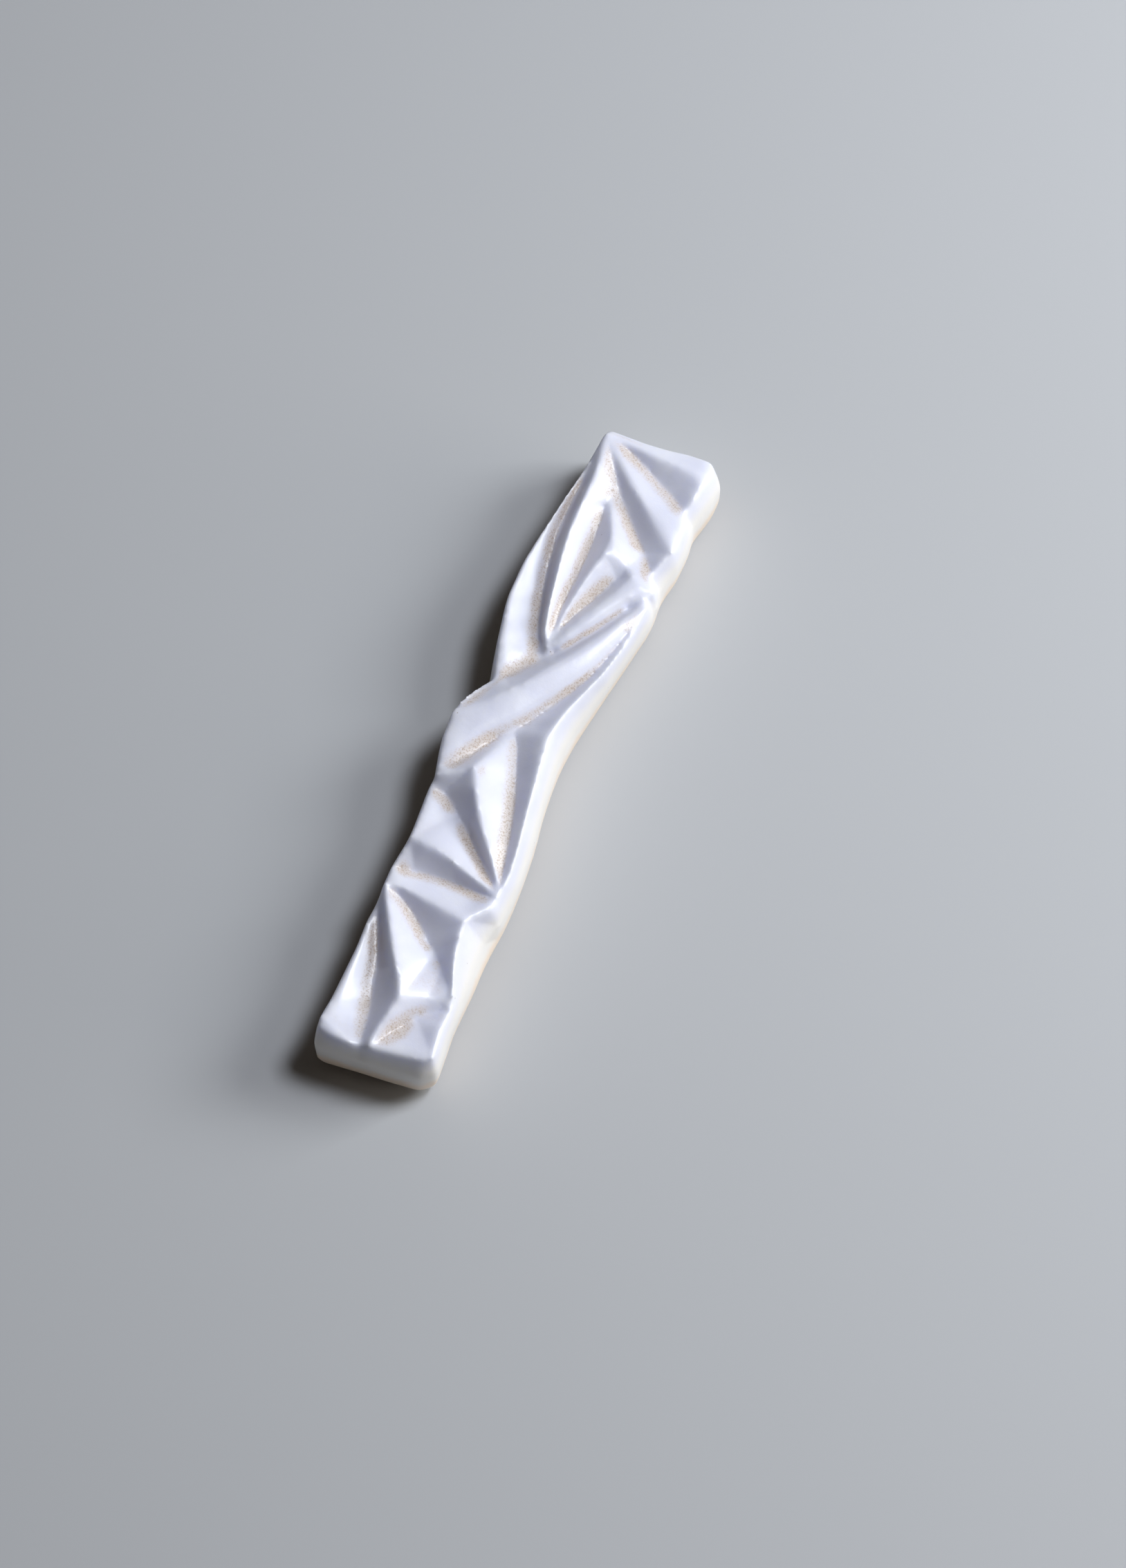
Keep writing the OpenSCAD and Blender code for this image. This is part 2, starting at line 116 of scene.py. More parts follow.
def apply_modifiers(obj):
    """Gives the object the mesh that its modifiers make, and removes them."""
    graph = bpy.context.evaluated_depsgraph_get()
    mesh = bpy.data.meshes.new_from_object(obj.evaluated_get(graph))
    obj.modifiers.clear()
    obj.data = mesh
    return obj


def voxel_remesh(obj, size):
    remesh = obj.modifiers.new("even", "REMESH")
    remesh.mode = "VOXEL"
    remesh.voxel_size = size
    apply_modifiers(obj)
    obj.data.shade_smooth()


def vertex_array(mesh):
    points = np.empty(len(mesh.vertices) * 3)
    mesh.vertices.foreach_get("co", points)
    return points.reshape(-1, 3)


def edge_array(mesh):
    edges = np.empty(len(mesh.edges) * 2, dtype=np.int64)
    mesh.edges.foreach_get("vertices", edges)
    return edges.reshape(-1, 2)


def normal_array(mesh):
    normals = np.empty(len(mesh.vertices) * 3)
    mesh.vertex_normals.foreach_get("vector", normals)
    return normals.reshape(-1, 3)


def set_vertices(mesh, points):
    mesh.vertices.foreach_set("co", points.ravel())
    mesh.update()


def neighbour_mean(values, edges):
    """The mean of each vertex's neighbours, for an array of one or more columns."""
    count = np.bincount(edges.ravel(), minlength=len(values))
    columns = values.reshape(len(values), -1).T
    sums = [
        np.bincount(edges[:, 0], column[edges[:, 1]], len(values))
        + np.bincount(edges[:, 1], column[edges[:, 0]], len(values))
        for column in columns
    ]
    return (np.array(sums).T / np.maximum(count, 1)[:, None]).reshape(values.shape)


def relax(points, edges, hold, rounds):
    """Moves each point towards its neighbours' mean, less where hold nears 1."""
    pull = 0.5 * (1 - hold)[:, None]
    for _ in range(rounds):
        points = points + pull * (neighbour_mean(points, edges) - points)
    return points


def blur(values, edges, rounds):
    for _ in range(rounds):
        values = 0.5 * (values + neighbour_mean(values, edges))
    return values


def smooth_step(low, high, values):
    t = np.clip((values - low) / (high - low), 0, 1)
    return t * t * (3 - 2 * t)


def store(mesh, name, values):
    layer = mesh.attributes.new(name, "FLOAT", "POINT")
    layer.data.foreach_set("value", values.astype(np.float32))


def grid_faces(bm, rows, around=False):
    """Quads between rows of vertices; around=True also joins each row's ends."""
    for low, high in zip(rows, rows[1:]):
        count = len(low)
        for i in range(count if around else count - 1):
            k = (i + 1) % count
            bm.faces.new((low[i], low[k], high[k], high[i]))


# ---------- the glazed case ----------
def crease_lines(bm):
    """Points along the CAD surface's valleys and crests, each with how sharply it bends."""
    valleys, crests = [], []
    for edge in bm.edges:
        if len(edge.link_faces) != 2:
            continue
        bend = edge.calc_face_angle_signed(0)
        if abs(bend) < CREASE_ANGLE:
            continue
        a, b = (v.co for v in edge.verts)
        steps = max(1, round((b - a).length / LINE_STEP))
        line = [(a.lerp(b, i / steps), abs(bend)) for i in range(steps + 1)]
        (valleys if bend < 0 else crests).extend(line)
    return valleys, crests


def nearest(line, points):
    """For each point, the distance to the line and how sharply the line bends there."""
    tree = kdtree.KDTree(len(line))
    for i, (place, _) in enumerate(line):
        tree.insert(place, i)
    tree.balance()
    found = [tree.find(p) for p in points]
    return np.array([f[2] for f in found]), np.array([line[f[1]][1] for f in found])


def chamber_share(points):
    """1 on the chamber's wall and seat, 0 in the case's outer skin."""
    away = np.hypot(points[:, 0] - chamber_x, points[:, 2] - chamber_z)
    along = points[:, 1]
    wall = (away < chamber_r + 0.5 * MM) & (along > sleeve_low[1] - CHAMBER_TAIL)
    seat = (away < seat_r + 0.3 * MM) & (along > mouth_y - SEAT_DEPTH - 0.5 * MM)
    return (wall | (seat & (along < mouth_y - 0.3 * MM))).astype(float)


def hand_wave(points):
    """Slow unevenness left by fingers, in metres along the normal."""
    return np.array([
        noise.noise(Vector(p) * 90) + 0.5 * noise.noise(Vector(p) * 210 + Vector((3, 1, 7)))
        for p in points
    ]) * HAND_WAVE


def sculpt_case():
    """The CAD shell with even facets, soft crests, tighter valleys and a hand-made waver."""
    bm = bmesh.new()
    bm.from_mesh(nodes["case_body"].data)
    bmesh.ops.remove_doubles(bm, verts=bm.verts, dist=0.002 * MM)
    bmesh.ops.recalc_face_normals(bm, faces=bm.faces)
    valleys, crests = crease_lines(bm)
    case = object_from_bmesh("case_skin", bm)
    voxel_remesh(case, VOXEL)

    mesh = case.data
    points = vertex_array(mesh)
    edges = edge_array(mesh)
    inside = chamber_share(points)
    from_valley, valley_bend = nearest(valleys, points)
    from_crest, _ = nearest(crests, points)
    near_valley = np.exp(-(from_valley / VALLEY_HOLD) ** 2)
    near_crest = np.exp(-(from_crest / CREST_HOLD) ** 2)
    hold = np.maximum(near_valley, CREST_SHARE * near_crest)
    points = relax(points, edges, np.maximum(hold, inside), FACET_ROUNDS)
    points = relax(points, edges, np.maximum(VALLEY_SHARE * near_valley, inside), CREST_ROUNDS)
    set_vertices(mesh, points)
    points += normal_array(mesh) * (hand_wave(points) * (1 - blur(inside, edges, 6)))[:, None]
    low, high = cad_box
    points = np.clip(points, np.array(low), np.array(high))
    set_vertices(mesh, points)
    mark_glaze(mesh, points, edges, inside, from_valley, valley_bend, from_crest)
    return case


def mark_glaze(mesh, points, edges, inside, from_valley, valley_bend, from_crest):
    """Stores where the glaze is stained, painted warm or bare: beside valleys on slopes facing the
    light, on the walls and at the foot (painted warm light, with real clay tint at the foot), inside,
    behind.
    """
    normals = normal_array(mesh)
    # the stain is real, but it is painted only on slopes facing the light, where the light shows it,
    # and left out of shaded slopes
    lit_side = smooth_step(
        -0.2, 0.1, normals[:, 0] * LIGHT_XY[0] + normals[:, 1] * LIGHT_XY[1]
    )
    top = smooth_step(0.25, 0.6, normals[:, 2])
    beside = smooth_step(-STAIN_REACH, -STAIN_SOLID, -from_valley)
    off_crest = smooth_step(0.3 * MM, 1.5 * MM, from_crest)
    depth = smooth_step(math.radians(14), math.radians(50), valley_bend)
    stain = beside * off_crest * (0.1 + 0.9 * depth) * (0.06 + 0.94 * lit_side) * top
    store(mesh, "valley", blur(stain, edges, 14))
    store(mesh, "bisque", blur(inside, edges, 3))
    low = 1 - smooth_step(back_z + FOOT_LOW, back_z + FOOT_HIGH, points[:, 2])
    # painted light: steep walls, picked by their normals, get a painted warm tint standing in for the
    # light they catch
    wall = 1 - smooth_step(0.35, 0.75, normals[:, 2])
    store(mesh, "foot", blur(low * wall, edges, 4))
    store(mesh, "back", blur((normals[:, 2] < -0.75) & (inside < 0.5), edges, 2))


# ---------- the stopper ----------
PLAY = 0.5 * MM  # between the shank and the chamber
RIB_R = 0.42 * MM
SLOT_SIZE = Vector((8, 2, 2)) * MM


def lathe(name, profile, segments):
    """A closed solid turned round the chamber's axis; the profile is (radius, y) pairs."""
    bm = bmesh.new()
    rows = []
    for radius, y in profile:
        turn = [2 * math.pi * k / segments for k in range(segments)]
        rows.append([
            bm.verts.new((chamber_x + radius * math.cos(t), y, chamber_z + radius * math.sin(t)))
            for t in turn
        ])
    grid_faces(bm, rows, around=True)
    bm.faces.new(rows[0])
    bm.faces.new(rows[-1])
    bmesh.ops.recalc_face_normals(bm, faces=bm.faces)
    return object_from_bmesh(name, bm)


def stopper_profile():
    """From the inner end outwards: tapered nose, two sealing ribs, neck and rounded head."""
    low, high = plug_low[1], plug_high[1]
    head_low = high - HEAD_THICKNESS
    shank_r = chamber_r - PLAY
    profile = [
        (shank_r - 0.9 * MM, low),
        (shank_r - 0.35 * MM, low + 0.25 * MM),
        (shank_r, low + 0.8 * MM),
    ]
    for rib in (1, 2):
        middle = low + rib * (head_low - low) / 3
        for k in range(9):
            t = math.pi * k / 8
            profile.append((shank_r + RIB_R * math.sin(t), middle - RIB_R * math.cos(t)))
    profile += [(shank_r, head_low - 0.15 * MM), (shank_r + 0.2 * MM, head_low)]
    inner_round, outer_round = 0.3 * MM, 0.5 * MM
    corners = (
        (inner_round, head_low + inner_round, -90),
        (outer_round, high - outer_round, 0),
    )
    for reach, middle, start in corners:
        for k in range(7):
            t = math.radians(start + 15 * k)
            profile.append((head_r - reach + reach * math.cos(t), middle + reach * math.sin(t)))
    return profile


def make_stopper():
    """The turned plug with a rounded finger slot cut across its head."""
    stopper = lathe("stopper_plug", stopper_profile(), 96)
    slot = bmesh.new()
    bmesh.ops.create_cube(slot, size=1)
    middle = Vector((chamber_x, plug_high[1], chamber_z))
    for v in slot.verts:
        v.co = v.co * SLOT_SIZE + middle
    bmesh.ops.bevel(
        slot, geom=slot.edges[:], offset=0.6 * MM, segments=4, profile=0.5, affect="EDGES"
    )
    cutter = object_from_bmesh("slot_cutter", slot)
    cut = stopper.modifiers.new("slot", "BOOLEAN")
    cut.operation = "DIFFERENCE"
    cut.object = cutter
    apply_modifiers(stopper)
    bpy.data.objects.remove(cutter)
    voxel_remesh(stopper, 0.14 * MM)
    mesh = stopper.data
    points = vertex_array(mesh)
    edges = edge_array(mesh)
    set_vertices(mesh, relax(points, edges, np.zeros(len(points)), 6))
    return stopper


# ---------- the parchment and its sleeve ----------
ROLL_R = 4.05 * MM
ROLL_PITCH = 0.75 * MM
ROLL_TURNS = 3.5
SHEET = 0.35 * MM
LIFT = 0.14 * MM  # how far the sheet's outer edge stands off the roll
RAGGED = 0.35 * MM
TELESCOPE = 0.5 * MM
COCKLE = 0.05 * MM


def make_parchment():
    """A rolled sheet: the outer edge lifts a little, the ends are slightly uneven."""
    bm = bmesh.new()
    steps, rows = 168, 90
    inner, outer = [], []
    for k in range(steps + 1):
        turn = ROLL_TURNS * 2 * math.pi * k / steps
        loose = LIFT * math.exp(-turn / 0.5)
        radius = ROLL_R - ROLL_PITCH * turn / (2 * math.pi) + loose
        telescope = TELESCOPE * turn / (2 * math.pi * ROLL_TURNS)
        lines = ([], [])
        for j in range(rows + 1):
            share = j / rows
            ragged = RAGGED * noise.noise(Vector((turn * 0.9, 4 * round(share), 0)))
            y = scroll_low[1] + share * (scroll_high[1] - scroll_low[1])
            y += (ragged + telescope) * (2 * share - 1)
            cockle = COCKLE * noise.noise(Vector((turn * 1.3, share * 14, 5)))
            for line, r in zip(lines, (radius - SHEET, radius)):
                r += cockle
                line.append(bm.verts.new(
                    (chamber_x + r * math.cos(turn), y, chamber_z - r * math.sin(turn))
                ))
        inner.append(lines[0])
        outer.append(lines[1])
    grid_faces(bm, outer)
    grid_faces(bm, inner)
    for a, b in ((inner[0], outer[0]), (inner[-1], outer[-1])):
        grid_faces(bm, [a, b])
    for j in (0, rows):
        grid_faces(bm, [[line[j] for line in inner], [line[j] for line in outer]])
    bmesh.ops.recalc_face_normals(bm, faces=bm.faces)
    return object_from_bmesh("parchment_roll", bm)


FILM = 0.16 * MM
SEAM = 0.10 * MM
SEAM_TURN, SEAM_WIDTH = 1.2, 0.09  # radians
DENT = 0.05 * MM


def make_sleeve():
    """A thin clear tube with a flattened weld seam along it and shallow dents."""
    bm = bmesh.new()
    segments, rows = 96, 70
    skins = []
    for radius in (sleeve_r, sleeve_r - FILM):
        lines = []
        for j in range(rows + 1):
            y = sleeve_low[1] + (sleeve_high[1] - sleeve_low[1]) * j / rows
            line = []
            for k in range(segments):
                t = 2 * math.pi * k / segments
                across, up = math.cos(t), math.sin(t)
                seam = SEAM * math.exp(-((t - SEAM_TURN) / SEAM_WIDTH) ** 2)
                dent = DENT * (0.5 + 0.5 * noise.noise(Vector((across, up, y * 60))))
                r = radius - seam - dent
                line.append(bm.verts.new((chamber_x + r * across, y, chamber_z + r * up)))
            lines.append(line)
        grid_faces(bm, lines, around=True)
        skins.append(lines)
    for end in (0, -1):
        grid_faces(bm, [skins[0][end], skins[1][end]], around=True)
    bmesh.ops.recalc_face_normals(bm, faces=bm.faces)
    return object_from_bmesh("clear_sleeve", bm)


# ---------- the tape pads and liners ----------
PAD_CORNER = 2.0 * MM
FOAM_BULGE = 0.22 * MM
CUT_WANDER = 0.08 * MM
TAB_CURL = 0.55 * MM
LINER_INSET = 0.02 * MM


def half_width(y, low, high, width):
    """Half the width of a round-cornered pad at y."""
    past = max(0.0, abs(y - (low + high) / 2) - ((high - low) / 2 - PAD_CORNER))
    return width / 2 - PAD_CORNER + math.sqrt(max(0.0, PAD_CORNER ** 2 - past ** 2))


def row_places(low, high):
    """Places along a pad, closer together in its round corners."""
    corner = [PAD_CORNER * (1 - math.cos(math.radians(a))) for a in range(0, 90, 10)]
    count = 44
    start, end = low + PAD_CORNER, high - PAD_CORNER
    middle = [start + (end - start) * k / count for k in range(count + 1)]
    return [low + c for c in corner] + middle + [high - c for c in reversed(corner)]


def slab(name, box, inset, lift):
    """A thin round-cornered slab; inset(share of height, y) draws its edge in, lift(x, y) raises it."""
    low, high = box
    middle_x, width = (low[0] + high[0]) / 2, high[0] - low[0]
    columns, levels = 14, 6
    bm = bmesh.new()
    places = row_places(low[1], high[1])
    middle_y = (low[1] + high[1]) / 2
    half_length = (high[1] - low[1]) / 2

    def point(s, y, level):
        share = level / (levels - 1)
        edge = inset(share, y)
        half = half_width(y, low[1], high[1], width) - edge
        x = middle_x + s * half
        y = middle_y + (y - middle_y) * (1 - edge / half_length)
        return bm.verts.new((x, y, low[2] + share * (high[2] - low[2]) + lift(x, y)))

    across = [2 * k / columns - 1 for k in range(columns + 1)]
    skins = [[[point(s, y, level) for s in across] for y in places] for level in (0, levels - 1)]
    for skin in skins:
        grid_faces(bm, skin)
    rims = [
        skin[0] + [row[-1] for row in skin[1:]]
        + skin[-1][-2::-1] + [row[0] for row in skin[-2:0:-1]]
        for skin in skins
    ]
    ring_places = (
        [(s, places[0]) for s in across] + [(1, y) for y in places[1:]]
        + [(s, places[-1]) for s in across[-2::-1]] + [(-1, y) for y in places[-2:0:-1]]
    )
    rings = [rims[0]]
    for level in range(1, levels - 1):
        rings.append([point(s, y, level) for s, y in ring_places])
    rings.append(rims[1])
    grid_faces(bm, rings, around=True)
    bmesh.ops.recalc_face_normals(bm, faces=bm.faces)
    return object_from_bmesh(name, bm)


def foam_edge(share, y):
    """The foam bulges a little at half height, and its cut edge wanders."""
    wander = CUT_WANDER * (0.5 + 0.5 * noise.noise(Vector((y * 300, share * 2, 0))))
    return FOAM_BULGE * (2 * share - 1) ** 2 + wander


def make_tape(side):
    return slab(f"foam_pad_{side}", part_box(f"tape_{side}"), foam_edge, lambda x, y: 0.0)


def make_liner(side):
    """A release liner that lies flat under its pad; its free tab curls up slightly."""
    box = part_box(f"liner_{side}")
    pad_low, pad_high = (corner[1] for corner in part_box(f"tape_{side}"))
    middle, half = (pad_low + pad_high) / 2, (pad_high - pad_low) / 2
    tab = (box[1][1] - box[0][1]) - 2 * half

    def curl(x, y):
        past = max(0.0, abs(y - middle) - half - 0.8 * MM) / tab
        return TAB_CURL * past ** 2

    return slab(f"release_liner_{side}", box, lambda share, y: LINER_INSET, curl)


# ---------- materials ----------
class Nodes:
    """Short names for building one material's node tree."""

    def __init__(self, name):
        self.material = bpy.data.materials.new(name)
        self.material.use_nodes = True
        self.tree = self.material.node_tree
        self.shader = self.tree.nodes["Principled BSDF"]
        self.place = self.tree.nodes.new("ShaderNodeTexCoord").outputs["Object"]

    def link(self, source, socket):
        self.tree.links.new(source, socket)

    def field(self, name):
        node = self.tree.nodes.new("ShaderNodeAttribute")
        node.attribute_name = name
        return node.outputs["Fac"]

    def stretched(self, stretch):
        mapping = self.tree.nodes.new("ShaderNodeMapping")
        mapping.inputs["Scale"].default_value = stretch
        self.link(self.place, mapping.inputs["Vector"])
        return mapping.outputs["Vector"]

    def noise(self, scale, detail=2.0, roughness=0.5, stretch=(1, 1, 1)):
        node = self.tree.nodes.new("ShaderNodeTexNoise")
        node.inputs["Scale"].default_value = scale
        node.inputs["Detail"].default_value = detail
        node.inputs["Roughness"].default_value = roughness
        self.link(self.stretched(stretch), node.inputs["Vector"])
        return node.outputs["Fac"]

    def cells(self, scale, stretch=(1, 1, 1)):
        node = self.tree.nodes.new("ShaderNodeTexVoronoi")
        node.inputs["Scale"].default_value = scale
        self.link(self.stretched(stretch), node.inputs["Vector"])
        return node.outputs["Distance"]

    def along(self, axis):
        node = self.tree.nodes.new("ShaderNodeSeparateXYZ")
        self.link(self.place, node.inputs[0])
        return node.outputs[axis]

    def ramp(self, source, low, high, to_low=0.0, to_high=1.0):
        node = self.tree.nodes.new("ShaderNodeMapRange")
        node.interpolation_type = "SMOOTHSTEP"
        ends = (("From Min", low), ("From Max", high), ("To Min", to_low), ("To Max", to_high))
        for name, value in ends:
            node.inputs[name].default_value = value
        self.link(source, node.inputs["Value"])
        return node.outputs["Result"]

    def math(self, operation, a, b=0.0):
        node = self.tree.nodes.new("ShaderNodeMath")
        node.operation = operation
        for socket, value in zip(node.inputs, (a, b)):
            if isinstance(value, (int, float)):
                socket.default_value = value
            else:
                self.link(value, socket)
        return node.outputs["Value"]

    def ragged(self, field, scale, amount):
        """A field with a noisy edge."""
        grain = self.math("SUBTRACT", self.noise(scale, 4, 0.7), 0.5)
        return self.math("ADD", field, self.math("MULTIPLY", grain, amount))

    def mix(self, share, a, b):
        node = self.tree.nodes.new("ShaderNodeMix")
        node.data_type = "RGBA"
        self.link(share, node.inputs["Factor"])
        for socket, value in ((node.inputs[6], a), (node.inputs[7], b)):
            if isinstance(value, tuple):
                socket.default_value = (*value, 1)
            else:
                self.link(value, socket)
        return node.outputs[2]

    def bump(self, height, strength, distance, under=None):
        node = self.tree.nodes.new("ShaderNodeBump")
        node.inputs["Strength"].default_value = strength
        node.inputs["Distance"].default_value = distance
        self.link(height, node.inputs["Height"])
        if under is not None:
            self.link(under, node.inputs["Normal"])
        return node.outputs["Normal"]

    def surface(self, **sockets):
        for name, value in sockets.items():
            socket = self.shader.inputs[name.replace("_", " ")]
            if isinstance(value, (int, float, Vector)):
                socket.default_value = value
            elif isinstance(value, tuple):
                socket.default_value = (*value, 1)
            else:
                self.link(value, socket)
        return self.material


GLAZE_DEPTH = Vector((0.8, 0.85, 1.0))  # how far red, green and blue light spread in the glaze


def white_glaze():
    n = Nodes("white_glaze")
    glaze = n.mix(n.ramp(n.noise(130, 3), 0.35, 0.7), (0.775, 0.785, 0.90), (0.825, 0.835, 0.945))
    # beige stain beside the valleys, painted only on slopes facing the light: a soft tint with fine
    # brown grains over it
    valley = n.math("MULTIPLY", n.field("valley"), n.ramp(n.noise(85, 2), 0.3, 0.62, 0.6, 1.1))
    ragged = n.ragged(valley, 1100, 0.35)
    tint = n.ramp(ragged, 0.03, 0.9, 0.0, 0.68)
    glaze = n.mix(tint, glaze, (0.69, 0.585, 0.485))
    speckle = n.ramp(n.noise(2800, 2, 0.6), 0.48, 0.64)
    grains = n.math("MULTIPLY", speckle, n.ramp(ragged, 0.12, 0.75, 0.0, 0.6))
    glaze = n.mix(grains, glaze, (0.46, 0.33, 0.23))
    # painted light: the walls are painted creamier than the top, standing in for the warm light they
    # catch; at the foot, warm clay shows through and a painted warm glow stands in for light bounced up
    # from the floor
    glaze = n.mix(n.ramp(n.field("foot"), 0.05, 0.5), glaze, (0.865, 0.84, 0.81))
    # the foot's peach is partly real clay under thin glaze and partly a painted warm glow standing in
    # for light bounced up from the floor
    foot = n.ragged(n.field("foot"), 260, 0.22)
    glaze = n.mix(n.ramp(foot, 0.72, 1.0, 0.0, 0.85), glaze, (0.87, 0.69, 0.52))
    # a few dark pinholes
    pin = n.math("MULTIPLY", n.ramp(n.cells(300), 0.05, 0.035), n.ramp(n.noise(70, 1), 0.56, 0.6))
    glaze = n.mix(n.math("MULTIPLY", pin, 0.6), glaze, (0.22, 0.17, 0.14))
    bare = n.math("MAXIMUM", n.field("bisque"), n.ramp(n.ragged(n.field("back"), 400, 0.4), 0.5, 0.8))
    clay = n.mix(n.ramp(n.noise(1800, 3, 0.7), 0.4, 0.65), (0.66, 0.55, 0.43), (0.56, 0.44, 0.32))
    glaze = n.mix(bare, glaze, clay)
    peel = n.bump(n.noise(700, 3), 0.08, 0.0004)
    pits = n.bump(n.noise(2600, 2), 0.06, 0.0002, peel)
    rough = n.ramp(n.math("MAXIMUM", grains, bare), 0.0, 1.0, 0.36, 0.8)
    return n.surface(
        Base_Color=glaze, Roughness=rough, Normal=pits,
        Coat_Weight=0.25, Coat_Roughness=0.2, IOR=1.5,
        Subsurface_Weight=0.5, Subsurface_Scale=0.003, Subsurface_Radius=GLAZE_DEPTH
    )


def silicone():
    n = Nodes("silicone")
    tone = n.mix(n.ramp(n.noise(220, 3), 0.35, 0.7), (0.60, 0.61, 0.62), (0.68, 0.69, 0.70))
    dust = n.math("MULTIPLY", n.ramp(n.noise(2400, 2), 0.62, 0.7), 0.5)
    tone = n.mix(dust, tone, (0.80, 0.79, 0.76))
    fine = n.bump(n.noise(3500, 3), 0.10, 0.0001)
    moulded = n.bump(n.noise(500, 2, 0.5, (1, 0.2, 1)), 0.06, 0.0003, fine)
    return n.surface(
        Base_Color=tone, Roughness=n.ramp(n.noise(400, 2), 0.3, 0.7, 0.48, 0.62), Normal=moulded,
        Subsurface_Weight=0.15, Subsurface_Scale=0.002, IOR=1.43
    )


def parchment():
    n = Nodes("parchment")
    tone = n.mix(n.ramp(n.noise(120, 4, 0.6), 0.3, 0.7), (0.78, 0.66, 0.45), (0.86, 0.77, 0.58))
    tone = n.mix(n.ramp(n.noise(45, 3), 0.5, 0.75, 0.0, 0.4), tone, (0.70, 0.55, 0.34))
    dots = n.ramp(n.cells(1300), 0.16, 0.08)
    follicles = n.math("MULTIPLY", dots, n.ramp(n.noise(90, 2), 0.5, 0.6, 0.0, 0.5))
    tone = n.mix(follicles, tone, (0.55, 0.42, 0.27))
    # blind ruling, scored square to the roll
    wave = n.math("FRACT", n.math("MULTIPLY", n.along("Y"), 260.0))
    rule = n.ramp(n.math("ABSOLUTE", n.math("SUBTRACT", wave, 0.5)), 0.47, 0.5)
    tone = n.mix(n.math("MULTIPLY", rule, 0.35), tone, (0.60, 0.47, 0.30))
    fibre = n.bump(n.noise(1500, 4, 0.6, (1, 0.35, 1)), 0.25, 0.0002)
    scored = n.bump(n.math("MULTIPLY", rule, -1.0), 0.3, 0.0001, fibre)
    return n.surface(
        Base_Color=tone, Roughness=n.ramp(n.noise(600, 2), 0.3, 0.7, 0.6, 0.8), Normal=scored,
        Subsurface_Weight=0.1, Subsurface_Scale=0.001
    )


def clear_film():
    n = Nodes("clear_film")
    scuffs = n.ramp(n.noise(900, 4, 0.7, (1, 0.12, 1)), 0.55, 0.75)
    alpha = n.ramp(scuffs, 0.0, 1.0, 0.24, 0.48)
    ripple = n.bump(n.noise(240, 2, 0.5, (1, 0.3, 1)), 0.12, 0.0004)
    return n.surface(
        Base_Color=n.mix(scuffs, (0.86, 0.91, 0.94), (0.95, 0.96, 0.96)), Alpha=alpha, Normal=ripple,
        Roughness=n.ramp(scuffs, 0.0, 1.0, 0.06, 0.35), IOR=1.49
    )


def foam_tape():
    n = Nodes("foam_tape")
    pores = n.ramp(n.cells(2600), 0.05, 0.6)
    tone = n.mix(pores, (0.74, 0.74, 0.72), (0.86, 0.86, 0.84))
    tone = n.mix(n.ramp(n.noise(300, 2), 0.45, 0.75, 0.0, 0.5), tone, (0.78, 0.76, 0.71))
    open_cells = n.bump(pores, 0.5, 0.0002)
    skin = n.bump(n.noise(900, 3), 0.15, 0.0002, open_cells)
    return n.surface(Base_Color=tone, Roughness=n.ramp(pores, 0.0, 1.0, 0.95, 0.8), Normal=skin)


def release_paper():
    n = Nodes("release_paper")
    tone = n.mix(n.ramp(n.noise(160, 3), 0.35, 0.7), (0.80, 0.71, 0.48), (0.86, 0.79, 0.58))
    fibres = n.ramp(n.noise(1600, 4, 0.65, (1, 0.25, 1)), 0.52, 0.7, 0.0, 0.5)
    tone = n.mix(fibres, tone, (0.68, 0.57, 0.35))
    rough = n.ramp(n.noise(700, 2), 0.3, 0.7, 0.35, 0.5)
    return n.surface(Base_Color=tone, Roughness=rough, Normal=n.bump(fibres, 0.12, 0.0001))


# ---------- stage ----------
FLOOR_HALF = 3
LAMP_DISTANCE = 1.1


def make_floor():
    bm = bmesh.new()
    bmesh.ops.create_grid(bm, x_segments=1, y_segments=1, size=FLOOR_HALF)
    floor = object_from_bmesh("floor", bm, smooth=False)
    n = Nodes("pale_floor")
    floor.data.materials.append(n.surface(Base_Color=(0.525, 0.535, 0.55), Roughness=0.85))


def aim(obj, target):
    obj.rotation_euler = (Vector(target) - obj.location).to_track_quat("-Z", "Y").to_euler()


def soft_light(name, turn, height, size, power, colour):
    """A square soft box; turn is from +X towards +Y and height above the floor, in degrees."""
    lamp = bpy.data.lights.new(name, "AREA")
    lamp.shape = "SQUARE"
    lamp.size = size
    lamp.energy = power
    lamp.color = colour
    obj = new_object(name, lamp)
    turn, height = math.radians(turn), math.radians(height)
    obj.location = LAMP_DISTANCE * Vector(
        (math.cos(height) * math.cos(turn), math.cos(height) * math.sin(turn), math.sin(height))
    )
    aim(obj, (0, 0, 0))


def make_lights():
    soft_light("window", 37, 32, 0.45, 7.7, (0.95, 0.985, 1.0))
    soft_light("sky", 42, 62, 0.28, 6.8, (0.88, 0.92, 1.0))
    soft_light("low", 14, 12, 0.5, 2.8, (1.0, 0.94, 0.86))


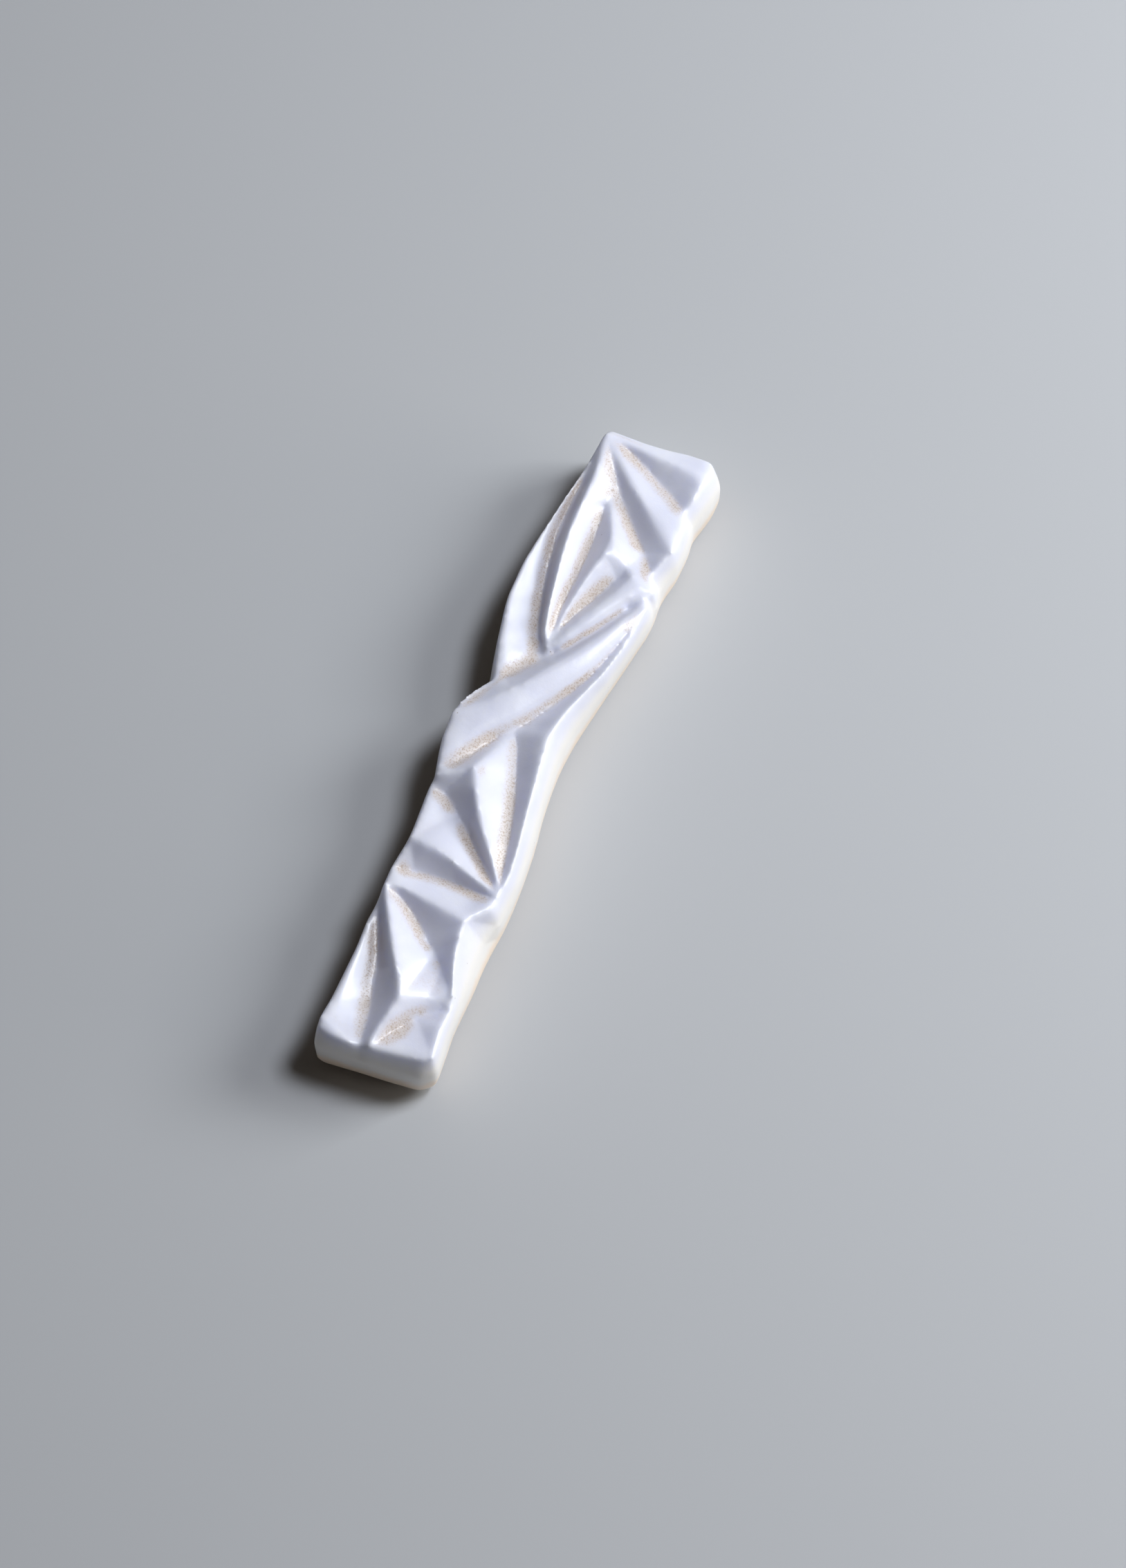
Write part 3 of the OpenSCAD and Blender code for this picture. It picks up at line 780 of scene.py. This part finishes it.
def make_world():
    """A weak warm fill, with a plain grey backdrop where the camera sees past the floor."""
    world = bpy.data.worlds.new("studio")
    world.use_nodes = True
    tree = world.node_tree
    fill = tree.nodes["Background"]
    fill.inputs["Color"].default_value = (1.0, 0.84, 0.70, 1)
    fill.inputs["Strength"].default_value = 0.035
    backdrop = tree.nodes.new("ShaderNodeBackground")
    backdrop.inputs["Color"].default_value = (0.09, 0.092, 0.097, 1)
    seen = tree.nodes.new("ShaderNodeLightPath").outputs["Is Camera Ray"]
    blend = tree.nodes.new("ShaderNodeMixShader")
    ends = (seen, fill.outputs["Background"], backdrop.outputs["Background"])
    for socket, source in zip(blend.inputs, ends):
        tree.links.new(source, socket)
    tree.links.new(blend.outputs["Shader"], tree.nodes["World Output"].inputs["Surface"])
    bpy.context.scene.world = world


def make_camera():
    """A camera 0.72 m away, 65.5 degrees above the table, turned 22.5 degrees round the case."""
    target = Vector((9.0, 0.7, 0)) * MM
    turn, height, distance = math.radians(22.5), math.radians(65.5), 0.72
    ahead = Vector((-math.sin(turn), math.cos(turn), 0))
    lens = bpy.data.cameras.new("camera")
    lens.lens = 80.6
    lens.sensor_width = 36
    lens.clip_start = 0.01
    camera = new_object("camera", lens)
    away = distance * (math.cos(height) * -ahead + math.sin(height) * Vector((0, 0, 1)))
    camera.location = target + away
    aim(camera, target)
    bpy.context.scene.camera = camera


def place(piece, body, node, slot, material):
    """A finished piece rides on its body and stands for its CAD node."""
    piece.data.materials.append(material)
    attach(piece, body)
    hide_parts(node)


place(sculpt_case(), "case", "case_body", "white_glaze", white_glaze())
place(make_stopper(), "stopper", "stopper", "silicone", silicone())
place(make_parchment(), "scroll", "parchment_scroll", "parchment", parchment())
place(make_sleeve(), "scroll", "scroll_sleeve", "clear_film", clear_film())
foam, paper = foam_tape(), release_paper()
for side in ("upper", "lower"):
    place(make_tape(side), "case", f"tape_{side}", "foam_tape", foam)
    place(make_liner(side), f"liner_{side}", f"liner_{side}", "release_paper", paper)

make_floor()
make_lights()
make_world()
make_camera()
bpy.context.scene.view_settings.view_transform = "Standard"
